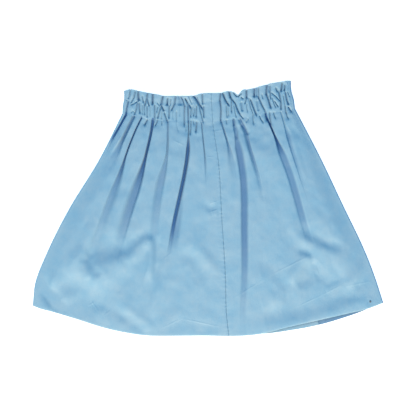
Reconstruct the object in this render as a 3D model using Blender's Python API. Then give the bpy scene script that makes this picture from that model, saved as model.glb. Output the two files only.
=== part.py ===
"""A gathered skirt laid flat with its front up.

Two front panels meet at a centre front seam, turn round the side folds and meet the back panel underneath.
An elastic casing and a standing header ruffle run along the top, each sewn in the same three lengths.
+Z is up, +X is to the right of the front, +Y is towards the waist. The underside rests on z = 0.
Sizes are in millimetres, and build_cloth() turns them into metres.
"""
import math
from collections import namedtuple

import bmesh
import bpy
from mathutils import Vector

for old_object in list(bpy.data.objects):
    bpy.data.objects.remove(old_object, do_unlink=True)

MM = 0.001

# Cloth walls and seams
PANEL_WALL = 1.2
CASING_WALL = 2.0
RUFFLE_WALL = 1.6
SEAM_GAP = 0.3
LAYER_GAP = 0.5
SHARPEST_CORNER = 0.8

# Outline of the skirt as rows across it. Level -2 is the ruffle's top, -1 and 0 are the stitch lines
# of the casing, 1 is the hem. A row runs between its two ends and hangs below them by its sag.
Row = namedtuple("Row", "level left_x left_y right_x right_y sag")
WAIST_ROWS = (
    Row(-2.00, -163.0, 226.0, 162.5, 248.0, 17.0),
    Row(-1.00, -163.0, 210.5, 164.0, 226.5, 14.5),
    Row(-0.50, -165.5, 197.5, 168.5, 210.5, 18.0),
    Row(0.00, -165.7, 184.0, 170.5, 194.0, 21.5),
)
BODY_ROWS = (
    Row(0.00, -165.7, 184.0, 170.5, 194.0, 21.5),
    Row(0.25, -212.5, 91.5, 219.2, 100.0, 31.0),
    Row(0.50, -269.5, -1.5, 263.6, 6.5, 42.0),
    Row(0.75, -316.5, -94.5, 308.6, -87.5, 52.5),
    Row(0.88, -335.5, -142.5, 327.7, -136.0, 57.5),
    Row(1.00, -340.8, -187.0, 342.6, -181.5, 62.5),
)
LEFT_SAG_POWER = 2.4
RIGHT_SAG_POWER = 1.95

# How far the ruffle's top edge rises above its even row, at places from left to right in millimetres
TopEdge = namedtuple("TopEdge", "x rise")
TOP_EDGE = (
    TopEdge(-166.0, 0.5), TopEdge(-151.0, 7.0), TopEdge(-140.0, 7.0), TopEdge(-126.0, 5.5),
    TopEdge(-112.0, 4.5), TopEdge(-96.0, 2.5), TopEdge(-83.0, 0.5), TopEdge(-60.0, 1.0),
    TopEdge(-35.0, 0.3), TopEdge(-22.0, 1.2), TopEdge(-14.0, 3.4), TopEdge(24.0, 2.2),
    TopEdge(44.0, 3.0), TopEdge(53.0, -1.5), TopEdge(59.5, -6.0), TopEdge(67.0, 1.5),
    TopEdge(80.0, 1.2), TopEdge(102.0, 3.0), TopEdge(128.0, 4.0), TopEdge(146.0, 2.2),
    TopEdge(157.0, 1.5), TopEdge(166.0, -2.0),
)
TOP_EDGE_LEVEL = -1.35

# How far the hem drops below its even row, at shares of the way across
HemEdge = namedtuple("HemEdge", "across drop")
HEM_EDGE = (
    HemEdge(0.00, 3.4), HemEdge(0.02, 2.9), HemEdge(0.05, 0.4), HemEdge(0.10, -1.1),
    HemEdge(0.14, -0.6), HemEdge(0.19, 2.1), HemEdge(0.25, 4.4), HemEdge(0.32, 5.8),
    HemEdge(0.42, 2.6), HemEdge(0.50, 2.0), HemEdge(0.56, 4.3), HemEdge(0.61, 5.5),
    HemEdge(0.66, 5.0), HemEdge(0.70, 2.0), HemEdge(0.74, -0.3), HemEdge(0.87, 0.0),
    HemEdge(0.91, 1.8), HemEdge(0.95, 4.0), HemEdge(1.00, 3.4),
)
HEM_EDGE_LEVEL = 0.60

# Middle of the outline's box, which lies at the origin
MIDDLE_X = 0.90
MIDDLE_Y = -0.92

# The centre front seam, as its place across the front (0 left edge, 1 right edge) down the levels
Path = namedtuple("Path", "at_top at_015 at_035 at_060 at_hem")
PATH_LEVELS = (0.0, 0.15, 0.35, 0.60, 1.0)
CENTRE_SEAM = Path(0.523, 0.540, 0.552, 0.564, 0.560)

# Folds that fall from the casing. Depth is a share of the room above the back layer, end is the level
# where the fold has gone, widths are half widths in millimetres at the casing and at the end.
Fold = namedtuple("Fold", "path depth end top_width end_width")
LEFT_FOLDS = (
    Fold(Path(0.030, 0.018, 0.016, 0.016, 0.016), 0.50, 0.24, 2.5, 4.0),
    Fold(Path(0.066, 0.066, 0.056, 0.056, 0.056), 0.60, 0.36, 3.0, 8.0),
    Fold(Path(0.105, 0.098, 0.110, 0.120, 0.124), 0.85, 0.60, 2.8, 9.0),
    Fold(Path(0.138, 0.142, 0.150, 0.158, 0.160), 0.55, 0.09, 2.5, 4.0),
    Fold(Path(0.172, 0.190, 0.201, 0.201, 0.198), 0.95, 0.64, 3.2, 12.0),
    Fold(Path(0.215, 0.235, 0.246, 0.252, 0.252), 0.50, 0.08, 2.8, 4.0),
    Fold(Path(0.263, 0.292, 0.303, 0.322, 0.330), 0.65, 0.78, 3.6, 9.0),
    Fold(Path(0.312, 0.330, 0.335, 0.348, 0.356), 0.45, 0.07, 2.8, 4.0),
    Fold(Path(0.350, 0.362, 0.362, 0.366, 0.374), 0.45, 0.08, 2.6, 4.0),
    Fold(Path(0.384, 0.391, 0.383, 0.386, 0.392), 1.00, 0.66, 3.6, 7.0),
    Fold(Path(0.422, 0.432, 0.430, 0.430, 0.432), 0.50, 0.07, 2.8, 4.0),
    Fold(Path(0.458, 0.476, 0.488, 0.490, 0.490), 0.60, 0.32, 2.6, 4.0),
)
RIGHT_FOLDS = (
    Fold(Path(0.566, 0.588, 0.600, 0.606, 0.600), 0.60, 0.30, 2.8, 5.0),
    Fold(Path(0.598, 0.612, 0.624, 0.628, 0.618), 0.45, 0.07, 2.8, 4.0),
    Fold(Path(0.634, 0.640, 0.652, 0.646, 0.636), 0.85, 1.60, 3.4, 8.0),
    Fold(Path(0.685, 0.709, 0.722, 0.724, 0.720), 0.80, 0.38, 3.6, 6.0),
    Fold(Path(0.742, 0.752, 0.762, 0.766, 0.766), 0.50, 0.08, 3.0, 4.0),
    Fold(Path(0.786, 0.796, 0.802, 0.806, 0.806), 0.50, 0.07, 3.0, 4.0),
    Fold(Path(0.837, 0.842, 0.846, 0.852, 0.856), 0.95, 0.72, 3.6, 12.0),
    Fold(Path(0.878, 0.872, 0.878, 0.884, 0.886), 0.50, 0.07, 2.8, 4.0),
    Fold(Path(0.919, 0.903, 0.911, 0.918, 0.918), 0.70, 0.64, 3.2, 9.0),
    Fold(Path(0.962, 0.952, 0.956, 0.960, 0.960), 0.50, 0.16, 2.8, 4.0),
)
FOLD_STATIONS = (-1.7, -0.8, 0.0, 0.8, 1.7)
SHORT_FOLD_END = 0.10
SHORT_FOLD_STATIONS = (-1.2, 0.0, 1.2)
STATION_SHARE = 0.27

# Height of the front's crests above the table, down the levels
Crest = namedtuple("Crest", "level height")
FRONT_CRESTS = (
    Crest(0.00, 8.4),
    Crest(0.06, 11.0),
    Crest(0.16, 13.0),
    Crest(0.35, 12.0),
    Crest(0.60, 9.5),
    Crest(0.85, 7.0),
    Crest(0.97, 5.4),
    Crest(1.00, 4.9),
)
EDGE_RISE = 34.0
EDGE_HEIGHT = 4.4

# Broad soft bulges and hollows in the lower half of the front: middle, direction, half sizes and height
Form = namedtuple("Form", "x y turn length width height")
FRONT_FORMS = (
    Form(-170.0, -115.0, 32.0, 70.0, 24.0, 4.0),
    Form(-215.0, -195.0, -28.0, 75.0, 20.0, -2.5),
    Form(-280.0, -140.0, 40.0, 40.0, 22.0, 2.5),
    Form(-20.0, -115.0, -60.0, 60.0, 26.0, 2.5),
    Form(190.0, -65.0, -35.0, 45.0, 18.0, 3.5),
    Form(250.0, -60.0, -25.0, 45.0, 18.0, 3.0),
    Form(255.0, -150.0, 12.0, 70.0, 22.0, -2.0),
    Form(230.0, -118.0, 10.0, 45.0, 18.0, 2.5),
)

# Back layer. Its gathers lift it off the table near the casing and flatten out below.
# The side seams lie on the back, as shares of the row's width in from the side folds.
BACK_LIFT = 2.2
BACK_LIFT_END = 0.50
BACK_FOLDS = 12
LEFT_SIDE_SEAM = 0.050
RIGHT_SIDE_SEAM = 0.182
BACK_FOLD_CLEARANCE = 30.0
BACK_HEM_DROP = 11.0
BACK_HEM_DROP_FROM = 0.64
BACK_HEM_DROP_TO = 0.97
BACK_HEM_DROP_LEVEL = 0.55
BACK_HEM_TUCK = 1.5

# Casing and ruffle gathers across the front and the back
GATHER_PITCH = 11.4
GATHER_STATIONS = 4
CASING_CREST = 8.8
CASING_TROUGH = 5.9
CASING_EDGE = 7.0
RUFFLE_BOTTOM_HEIGHT = 6.4
RUFFLE_TOP_HEIGHT = 9.2
RUFFLE_BOTTOM_WAVE = 0.9
RUFFLE_TOP_WAVE = 3.4
RUFFLE_EDGE = 6.6
BACK_CASING_LIFT = 1.0
BACK_RUFFLE_LIFT = 1.4
PLAIN_HALF_WIDTH = 0.055

# A section is a run of spots: a distance from the left edge along the row, a height, and the run it is in
Spot = namedtuple("Spot", "distance height run")
UNDER, TURN, TOP = "under", "turn", "top"

# How finely the cloth is divided
BODY_LEVELS = (
    0.0, 0.025, 0.055, 0.09, 0.13, 0.18, 0.24, 0.31, 0.38,
    0.46, 0.54, 0.62, 0.70, 0.78, 0.85, 0.91, 0.96, 1.0,
)
CASING_LEVELS = (-1.0, -0.75, -0.25, 0.0)
RUFFLE_LEVELS = (-2.0, -1.5, -1.0)
TURN_STEPS = 5
UNDER_PITCH = 12.0
BACK_STEPS_PER_FOLD = 3

# Stud on the right of the front near the hem
STUD_ACROSS = 0.9675
STUD_LEVEL = 0.971
STUD_RADIUS = 2.2
STUD_HEIGHT = 1.0
STUD_SIDES = 20


def smoothstep(start, end, value):
    """Rise smoothly from 0 at start to 1 at end."""
    share = min(max((value - start) / (end - start), 0.0), 1.0)
    return share * share * (3.0 - 2.0 * share)


def smooth_curve(places, values, place):
    """Read a smooth curve through (places, values) at one place."""
    place = min(max(place, places[0]), places[-1])
    last = len(places) - 1
    span = next(i for i in range(last) if place <= places[i + 1])
    step = places[span + 1] - places[span]
    rises = [(values[i + 1] - values[i]) / (places[i + 1] - places[i]) for i in range(last)]
    start_slope = rises[span] if span == 0 else (rises[span - 1] + rises[span]) / 2
    end_slope = rises[span] if span == last - 1 else (rises[span] + rises[span + 1]) / 2
    t = (place - places[span]) / step
    return (
        values[span] * (2 * t**3 - 3 * t**2 + 1)
        + values[span + 1] * (3 * t**2 - 2 * t**3)
        + step * start_slope * (t**3 - 2 * t**2 + t)
        + step * end_slope * (t**3 - t**2)
    )


def row_value(level, field):
    """One size of the outline at a level."""
    rows = BODY_ROWS if level >= 0 else WAIST_ROWS
    return smooth_curve([row.level for row in rows], [getattr(row, field) for row in rows], level)


def row_width(level):
    return row_value(level, "right_x") - row_value(level, "left_x")


def plan_point(across, level):
    """Where a point of the cloth lies on the table, seen from above."""
    from_middle = 2.0 * across - 1.0
    power = LEFT_SAG_POWER if from_middle < 0 else RIGHT_SAG_POWER
    left_y = row_value(level, "left_y")
    right_y = row_value(level, "right_y")
    x = row_value(level, "left_x") + row_width(level) * across
    y = left_y + (right_y - left_y) * across - row_value(level, "sag") * (1.0 - abs(from_middle) ** power)
    rise = smooth_curve([edge.x for edge in TOP_EDGE], [edge.rise for edge in TOP_EDGE], x)
    drop = smooth_curve([edge.across for edge in HEM_EDGE], [edge.drop for edge in HEM_EDGE], across)
    y += rise * (1.0 - smoothstep(WAIST_ROWS[0].level, TOP_EDGE_LEVEL, level))
    y -= drop * smoothstep(HEM_EDGE_LEVEL, 1.0, level)
    return x - MIDDLE_X, y - MIDDLE_Y


def path_across(path, level):
    return smooth_curve(PATH_LEVELS, path, level)


def back_lift_limit(level):
    """Most that the back's gathers lift it off the table at a level."""
    return BACK_LIFT * (1.0 - smoothstep(0.0, BACK_LIFT_END, level))


def front_floor(level):
    """Lowest that the front's outer face may lie over the back layer."""
    return 2 * PANEL_WALL + LAYER_GAP + back_lift_limit(level)


def edge_height(level):
    """Height of the round side fold of the panels."""
    return max(EDGE_HEIGHT, front_floor(level) + 0.9)


def form_height(x, y):
    """Sum of the broad bulges and hollows at a point of the table."""
    total = 0.0
    for form in FRONT_FORMS:
        turn = math.radians(form.turn)
        along = ((x - form.x) * math.cos(turn) + (y - form.y) * math.sin(turn)) / form.length
        beside = ((y - form.y) * math.cos(turn) - (x - form.x) * math.sin(turn)) / form.width
        total += form.height * math.exp(-along * along - beside * beside)
    return total


def fold_width(fold, level):
    return fold.top_width + (fold.end_width - fold.top_width) * smoothstep(0.0, fold.end, level)


def front_height(distance, level):
    """Outer height of the front at a distance from its left edge."""
    width = row_width(level)
    floor = front_floor(level)
    crest = smooth_curve([row.level for row in FRONT_CRESTS], [row.height for row in FRONT_CRESTS], level)
    x, y = plan_point(distance / width, level)
    crest = max(crest + form_height(x, y), floor + 1.0)
    kept = 1.0
    for fold in LEFT_FOLDS + RIGHT_FOLDS:
        centre = path_across(fold.path, level) * width
        reach = (distance - centre) / fold_width(fold, level)
        fade = 1.0 - smoothstep(0.35 * fold.end, fold.end, level)
        kept *= 1.0 - fold.depth * fade * math.exp(-reach * reach)
    edge = edge_height(level)
    inwards = smoothstep(0.0, EDGE_RISE, min(distance, width - distance) - edge / 2)
    return edge + (floor + (crest - floor) * kept - edge) * inwards


def gather_phase(distance):
    """Uneven run of the casing's gathers, one turn for each gather."""
    turns = distance / GATHER_PITCH
    return turns + 0.30 * math.sin(0.9 * turns) + 0.16 * math.sin(2.3 * turns + 1.0)


def gather_depth(distance, level):
    """How strongly the casing is gathered at a place, calm beside the centre front seam."""
    from_seam = abs(distance / row_width(level) - CENTRE_SEAM.at_top)
    calm = 1.0 - smoothstep(0.6 * PLAIN_HALF_WIDTH, PLAIN_HALF_WIDTH, from_seam)
    uneven = 0.8 + 0.2 * math.sin(distance / 17.0)
    return uneven * (1.0 - 0.8 * calm)


def casing_height(distance, level):
    """Outer height of the front casing, pinched along its two stitch lines."""
    pinch = 0.45 + 0.55 * math.sin(math.pi * -level)
    wave = 0.5 + 0.5 * math.cos(2.0 * math.pi * gather_phase(distance))
    swell = (CASING_CREST - CASING_TROUGH) * pinch
    return CASING_TROUGH + swell * (1.0 - (1.0 - wave) * gather_depth(distance, level))


def ruffle_height(distance, level):
    """Outer height of the front ruffle, whose waves open towards its top."""
    opened = -1.0 - level
    middle = RUFFLE_BOTTOM_HEIGHT + (RUFFLE_TOP_HEIGHT - RUFFLE_BOTTOM_HEIGHT) * opened
    wave = RUFFLE_BOTTOM_WAVE + (RUFFLE_TOP_WAVE - RUFFLE_BOTTOM_WAVE) * opened
    return middle + wave * gather_depth(distance, level) * math.cos(2.0 * math.pi * gather_phase(distance))


def pressed_wave(phase):
    """Gathers pressed on the table: flat crests at 0 and narrow grooves that rise to 1."""
    return max(0.0, math.cos(2.0 * math.pi * phase)) ** 2


def back_height(distance, level):
    """Height of the back panel's underside."""
    width = row_width(level)
    from_seams = min(distance - LEFT_SIDE_SEAM * width, (1.0 - RIGHT_SIDE_SEAM) * width - distance)
    inside = smoothstep(0.0, BACK_FOLD_CLEARANCE, from_seams)
    return back_lift_limit(level) * inside * pressed_wave(BACK_FOLDS * distance / width)


def back_casing_height(distance, level):
    return BACK_CASING_LIFT * pressed_wave(gather_phase(distance))


def back_ruffle_height(distance, level):
    return BACK_RUFFLE_LIFT * (-1.0 - level) * pressed_wave(gather_phase(distance))


def fold_stations(level, folds, start, end):
    """Distances across the front where its columns run, five at each long fold and three at a short one."""
    width = row_width(level)
    centres = [start] + [path_across(fold.path, level) * width for fold in folds] + [end]
    distances = []
    for index, fold in enumerate(folds):
        centre = centres[index + 1]
        stations = SHORT_FOLD_STATIONS if fold.end <= SHORT_FOLD_END else FOLD_STATIONS
        for station in stations:
            room = centre - centres[index] if station < 0 else centres[index + 2] - centre
            reach = min(abs(station) * fold_width(fold, level), abs(station) * STATION_SHARE * room)
            distances.append(centre + math.copysign(reach, station))
    return distances


def even_stations(start, end, pitch):
    """Distances at an even pitch, both ends left out."""
    steps = max(2, round((end - start) / pitch))
    return [start + (end - start) * i / steps for i in range(1, steps)]


def side_turn(radius):
    """Round side fold as (distance from the edge, height), from the table up to the front."""
    points = []
    for step in range(TURN_STEPS + 1):
        angle = math.pi * (step / TURN_STEPS - 0.5)
        points.append((radius * (1.0 - math.cos(angle)), radius * (1.0 + math.sin(angle))))
    return points


def under_run(side_seam, level, radius):
    """Distances from the edge of the columns under the fold, from the side seam outwards."""
    start = side_seam * row_width(level) - SEAM_GAP / 2
    steps = math.ceil(side_seam * row_width(math.ceil(level)) / UNDER_PITCH)
    return [start + (radius - start) * i / steps for i in range(steps)]


def inner_section(section, wall, straight):
    """Move a section inwards by the wall: upright at its ends and gathers, square to it elsewhere."""
    inner = []
    for index, spot in enumerate(section):
        before = section[max(index - 1, 0)]
        after = section[min(index + 1, len(section) - 1)]
        if before is spot or after is spot or (straight and spot.run == TOP):
            inwards = math.copysign(wall, after.distance - before.distance)
            inner.append(spot._replace(height=spot.height - inwards))
            continue
        into_length = math.dist(spot[:2], before[:2])
        away_length = math.dist(spot[:2], after[:2])
        out_d = (before.height - spot.height) / into_length
        out_d += (spot.height - after.height) / away_length
        out_h = (spot.distance - before.distance) / into_length
        out_h += (after.distance - spot.distance) / away_length
        length = math.hypot(out_d, out_h)
        reach = wall / max(length / 2, SHARPEST_CORNER) / length
        inner.append(Spot(spot.distance - out_d * reach, spot.height - out_h * reach, spot.run))
    return inner


def hem_drop(distance, level):
    """How far the back layer's hem lies below the front's, which lets it show at the lower right."""
    across = distance / row_width(level)
    middle = (BACK_HEM_DROP_FROM + BACK_HEM_DROP_TO) / 2
    half = (BACK_HEM_DROP_TO - BACK_HEM_DROP_FROM) / 2
    share = max(0.0, 1.0 - ((across - middle) / half) ** 2)
    return (BACK_HEM_DROP + BACK_HEM_TUCK) * share - BACK_HEM_TUCK


def place_section(section, level, shift):
    """Lay a section out on the table along its row."""
    points = []
    for spot in section:
        x, y = plan_point(spot.distance / row_width(level), level)
        if spot.run == UNDER:
            y -= hem_drop(spot.distance, level) * smoothstep(BACK_HEM_DROP_LEVEL, 1.0, level)
        points.append(Vector((x, y + shift, spot.height)) * MM)
    return points


def seam_shift(level, first, last):
    """Half a seam gap at the two ends of a piece, so that its neighbours stay clear."""
    if level == first:
        return -SEAM_GAP / 2
    if level == last:
        return SEAM_GAP / 2
    return 0.0


def cloth_material(name, colour, roughness, metallic=0.0):
    material = bpy.data.materials.new(name)
    material.use_nodes = True
    shader = material.node_tree.nodes["Principled BSDF"]
    shader.inputs["Base Color"].default_value = (*colour, 1.0)
    shader.inputs["Roughness"].default_value = roughness
    shader.inputs["Metallic"].default_value = metallic
    return material


def finish_object(name, mesh_builder, material):
    """Turn a bmesh into a named object with its material."""
    bmesh.ops.recalc_face_normals(mesh_builder, faces=mesh_builder.faces[:])
    mesh = bpy.data.meshes.new(name)
    mesh_builder.to_mesh(mesh)
    mesh_builder.free()
    mesh.materials.append(material)
    mesh.shade_smooth()
    piece = bpy.data.objects.new(name, mesh)
    bpy.context.scene.collection.objects.link(piece)
    return piece


def build_cloth(name, outer_rows, inner_rows, material):
    """Bend a flat grid to the outer rows, then extrude it to the inner rows as one closed wall."""
    row_count = len(outer_rows)
    column_count = len(outer_rows[0])
    cloth = bmesh.new()
    bmesh.ops.create_grid(cloth, x_segments=column_count - 1, y_segments=row_count - 1, size=1.0)
    inner_place = {}
    for vertex in cloth.verts:
        column = round((vertex.co.x + 1.0) / 2.0 * (column_count - 1))
        row = round((vertex.co.y + 1.0) / 2.0 * (row_count - 1))
        vertex.co = outer_rows[row][column]
        inner_place[vertex.co.to_tuple(7)] = inner_rows[row][column]
    extruded = bmesh.ops.extrude_face_region(cloth, geom=cloth.faces[:])
    for vertex in extruded["geom"]:
        if isinstance(vertex, bmesh.types.BMVert):
            vertex.co = inner_place[vertex.co.to_tuple(7)]
    return finish_object(name, cloth, material)


def section_rows(levels, wall, straight, section_at):
    """Outer and inner rows of a piece from its sections, kept clear of its neighbours at both ends."""
    outer_rows = []
    inner_rows = []
    for level in levels:
        section = section_at(level)
        shift = seam_shift(level, levels[0], levels[-1] if levels[-1] < 1.0 else None)
        outer_rows.append(place_section(section, level, shift))
        inner_rows.append(place_section(inner_section(section, wall, straight), level, shift))
    return outer_rows, inner_rows


def left_section(level, radius, stations, height):
    """From the back's side seam, out round the left fold and across the front to the centre seam."""
    under = [Spot(distance, 0.0, UNDER) for distance in under_run(LEFT_SIDE_SEAM, level, radius)]
    turn = [Spot(distance, rise, TURN) for distance, rise in side_turn(radius)]
    top = [Spot(distance, height(distance, level), TOP) for distance in stations]
    return under + turn + top


def right_section(level, radius, stations, height):
    """Across the front from the centre seam, round the right fold and in to the back's side seam."""
    width = row_width(level)
    top = [Spot(distance, height(distance, level), TOP) for distance in stations]
    turn = [Spot(width - distance, rise, TURN) for distance, rise in reversed(side_turn(radius))]
    under_distances = reversed(under_run(RIGHT_SIDE_SEAM, level, radius))
    under = [Spot(width - distance, 0.0, UNDER) for distance in under_distances]
    return top + turn + under


def front_left_at(level):
    radius = edge_height(level) / 2
    end = path_across(CENTRE_SEAM, level) * row_width(level) - SEAM_GAP / 2
    stations = fold_stations(level, LEFT_FOLDS, radius, end) + [end]
    return left_section(level, radius, stations, front_height)


def front_right_at(level):
    width = row_width(level)
    radius = edge_height(level) / 2
    start = path_across(CENTRE_SEAM, level) * width + SEAM_GAP / 2
    stations = [start] + fold_stations(level, RIGHT_FOLDS, start, width - radius)
    return right_section(level, radius, stations, front_height)


def gathered_left(level, edge, height):
    end = CENTRE_SEAM.at_top * row_width(0.0) - SEAM_GAP / 2
    stations = even_stations(edge / 2, end, GATHER_PITCH / GATHER_STATIONS) + [end]
    return left_section(level, edge / 2, stations, height)


def gathered_right(level, edge, height):
    start = CENTRE_SEAM.at_top * row_width(0.0) + SEAM_GAP / 2
    width = row_width(level)
    steps = even_stations(start, row_width(0.0) - edge / 2, GATHER_PITCH / GATHER_STATIONS)
    squeeze = (width - edge / 2 - start) / (row_width(0.0) - edge / 2 - start)
    stations = [start] + [start + (distance - start) * squeeze for distance in steps]
    return right_section(level, edge / 2, stations, height)


def back_section(level, steps, height):
    """Underside of the back from its right side seam to its left one."""
    width = row_width(level)
    start = (1.0 - RIGHT_SIDE_SEAM) * width - SEAM_GAP / 2
    end = LEFT_SIDE_SEAM * width + SEAM_GAP / 2
    distances = [start + (end - start) * i / steps for i in range(steps + 1)]
    return [Spot(distance, height(distance, level), UNDER) for distance in distances]


def build_panels(material):
    left = section_rows(BODY_LEVELS, PANEL_WALL, False, front_left_at)
    build_cloth("front_left_panel", *left, material)
    right = section_rows(BODY_LEVELS, PANEL_WALL, False, front_right_at)
    build_cloth("front_right_panel", *right, material)
    steps = BACK_FOLDS * BACK_STEPS_PER_FOLD
    back = section_rows(BODY_LEVELS, PANEL_WALL, False, lambda level: back_section(level, steps, back_height))
    build_cloth("back_panel", *back, material)


def build_band(name, levels, wall, edge, front_height_at, back_height_at, material):
    """Three lengths of one gathered band: front left, front right and back."""
    left = section_rows(levels, wall, True, lambda level: gathered_left(level, edge, front_height_at))
    build_cloth("front_left_" + name, *left, material)
    right = section_rows(levels, wall, True, lambda level: gathered_right(level, edge, front_height_at))
    build_cloth("front_right_" + name, *right, material)
    back_width = (1.0 - LEFT_SIDE_SEAM - RIGHT_SIDE_SEAM) * row_width(0.0)
    steps = round(back_width / GATHER_PITCH * BACK_STEPS_PER_FOLD)
    back = section_rows(levels, wall, True, lambda level: back_section(level, steps, back_height_at))
    build_cloth("back_" + name, *back, material)


def build_stud(material):
    """A small plain round stud that lies on the right front panel near the hem."""
    x, y = plan_point(STUD_ACROSS, STUD_LEVEL)
    base = front_height(STUD_ACROSS * row_width(STUD_LEVEL), STUD_LEVEL) + SEAM_GAP
    stud = bmesh.new()
    bmesh.ops.create_cone(
        stud, cap_ends=True, segments=STUD_SIDES,
        radius1=STUD_RADIUS * MM, radius2=0.8 * STUD_RADIUS * MM, depth=STUD_HEIGHT * MM,
    )
    bmesh.ops.translate(stud, verts=stud.verts[:], vec=Vector((x, y, base + STUD_HEIGHT / 2)) * MM)
    finish_object("hem_stud", stud, material)


COTTON = cloth_material("blue_cotton", (0.27, 0.49, 0.66), 0.85)
METAL = cloth_material("dark_metal", (0.10, 0.11, 0.12), 0.35, 1.0)
build_panels(COTTON)
build_band("casing", CASING_LEVELS, CASING_WALL, CASING_EDGE, casing_height, back_casing_height, COTTON)
build_band("ruffle", RUFFLE_LEVELS, RUFFLE_WALL, RUFFLE_EDGE, ruffle_height, back_ruffle_height, COTTON)
build_stud(METAL)
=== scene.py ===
import math
from collections import namedtuple

import bmesh
import bpy
import numpy as np
from mathutils import Matrix, Vector


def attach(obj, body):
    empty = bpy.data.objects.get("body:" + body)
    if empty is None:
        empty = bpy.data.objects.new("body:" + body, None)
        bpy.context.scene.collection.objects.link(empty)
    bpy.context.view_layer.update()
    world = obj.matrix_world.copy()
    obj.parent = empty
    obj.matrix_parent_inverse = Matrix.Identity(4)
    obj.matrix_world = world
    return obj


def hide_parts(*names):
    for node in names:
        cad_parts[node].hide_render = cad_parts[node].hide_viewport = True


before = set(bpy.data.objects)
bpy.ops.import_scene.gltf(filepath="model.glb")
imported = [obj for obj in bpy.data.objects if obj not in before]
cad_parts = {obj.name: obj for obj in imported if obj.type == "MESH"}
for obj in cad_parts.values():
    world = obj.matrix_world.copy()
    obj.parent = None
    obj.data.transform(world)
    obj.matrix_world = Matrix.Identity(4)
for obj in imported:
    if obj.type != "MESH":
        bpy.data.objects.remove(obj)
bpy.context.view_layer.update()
MM = 0.001

# The camera looks straight down on the laid-out skirt through a long lens, as the product photo does.
# The photo is square, 416 pixels a side at 1.95 mm a pixel, and its middle lies at VIEW_MIDDLE.
PHOTO_PIXELS = 416
PIXEL_MM = 1.95
VIEW_MIDDLE = (0.075, 0.920)
CAMERA_HEIGHT = 3.2
camera_data = bpy.data.cameras.new("straight_down")
camera_data.sensor_width = 36.0
camera_data.lens = camera_data.sensor_width * CAMERA_HEIGHT / (PHOTO_PIXELS * PIXEL_MM * MM)
camera_data.clip_end = 20.0
camera = bpy.data.objects.new("camera", camera_data)
camera.location = (VIEW_MIDDLE[0] * MM, VIEW_MIDDLE[1] * MM, CAMERA_HEIGHT)
bpy.context.scene.collection.objects.link(camera)
bpy.context.scene.camera = camera
bpy.context.scene.view_settings.view_transform = "Standard"

# A white table top, lit a little from within as product tables are, so that no shadow darkens it.
TABLE_HALF = 3.0
TABLE_COLOUR = (0.90, 0.90, 0.90)
TABLE_GLOW = 0.75
TABLE_BELOW = 0.1


def plain_material(name, colour, inputs):
    """A material of one colour, with the other inputs of its shader given by name."""
    material = bpy.data.materials.new(name)
    material.use_nodes = True
    shader = material.node_tree.nodes["Principled BSDF"]
    shader.inputs["Base Color"].default_value = (*colour, 1.0)
    for key, value in inputs.items():
        shader.inputs[key].default_value = value
    return material


table_mesh = bpy.data.meshes.new("table_top")
table_shape = bmesh.new()
bmesh.ops.create_grid(table_shape, x_segments=1, y_segments=1, size=TABLE_HALF)
bmesh.ops.translate(table_shape, verts=table_shape.verts[:], vec=(0.0, 0.0, -TABLE_BELOW * MM))
table_shape.to_mesh(table_mesh)
table_shape.free()
table_material = plain_material("white_table", TABLE_COLOUR, {
    "Roughness": 0.9,
    "Specular IOR Level": 0.1,
    "Emission Color": (1.0, 1.0, 1.0, 1.0),
    "Emission Strength": TABLE_GLOW,
})
table_mesh.materials.append(table_material)
table_top = bpy.data.objects.new("table_top", table_mesh)
bpy.context.scene.collection.objects.link(table_top)

# Studio light: an even blue surround, a large warm soft box beyond the hem and a weak one beyond the waist.
# Together they make the crests pale and leave the hollows blue, as they are in the photo.
SURROUND = 0.33
SURROUND_COLOUR = (0.29, 1.11, 2.00)
Lamp = namedtuple("Lamp", "name place size power colour")
LAMPS = (
    Lamp("hem_softbox", (-0.4, -4.1, 2.7), 1.6, 328.0, (1.0, 0.795, 0.575)),
    Lamp("waist_softbox", (-0.6, 1.5, 4.0), 2.0, 40.0, (0.94, 0.98, 1.0)),
)
world = bpy.data.worlds.new("surround")
world.use_nodes = True
world.node_tree.nodes["Background"].inputs["Color"].default_value = (*SURROUND_COLOUR, 1.0)
world.node_tree.nodes["Background"].inputs["Strength"].default_value = SURROUND
bpy.context.scene.world = world
for lamp in LAMPS:
    light = bpy.data.lights.new(lamp.name, "AREA")
    light.size = lamp.size
    light.energy = lamp.power
    light.color = lamp.colour
    lamp_object = bpy.data.objects.new(lamp.name, light)
    lamp_object.location = lamp.place
    lamp_object.rotation_euler = (-Vector(lamp.place)).to_track_quat("-Z", "Y").to_euler()
    bpy.context.scene.collection.objects.link(lamp_object)

# Front of the skirt: two lengths of light blue cotton, left and right of the centre front seam. Each runs
# from the hem through the casing to the top of the ruffle, turns round its side fold, and ends at the side
# seam on the back. Gathers are drawn in along the casing's two stitch lines and fall from it as folds.
CLOTH_WALL = 0.55
MIDDLE_X = 0.90
MIDDLE_Y = -0.92
Row = namedtuple("Row", "level left_x left_y right_x right_y sag")
WAIST_ROWS = (
    Row(-2.00, -163.0, 226.0, 162.5, 248.0, 17.0),
    Row(-1.00, -163.0, 210.5, 164.0, 226.5, 14.5),
    Row(-0.50, -165.5, 197.5, 168.5, 210.5, 18.0),
    Row(0.00, -165.7, 184.0, 170.5, 194.0, 21.5),
)
BODY_ROWS = (
    Row(0.00, -165.7, 184.0, 170.5, 194.0, 21.5),
    Row(0.25, -212.5, 91.5, 219.2, 100.0, 31.0),
    Row(0.50, -269.5, -1.5, 263.6, 6.5, 42.0),
    Row(0.75, -316.5, -94.5, 308.6, -87.5, 52.5),
    Row(0.88, -335.5, -142.5, 327.7, -136.0, 57.5),
    Row(1.00, -340.8, -187.0, 342.6, -181.5, 62.5),
)
LEFT_SAG_POWER = 2.4
RIGHT_SAG_POWER = 1.95
Path = namedtuple("Path", "at_top at_005 at_015 at_030 at_055 at_hem")
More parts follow.
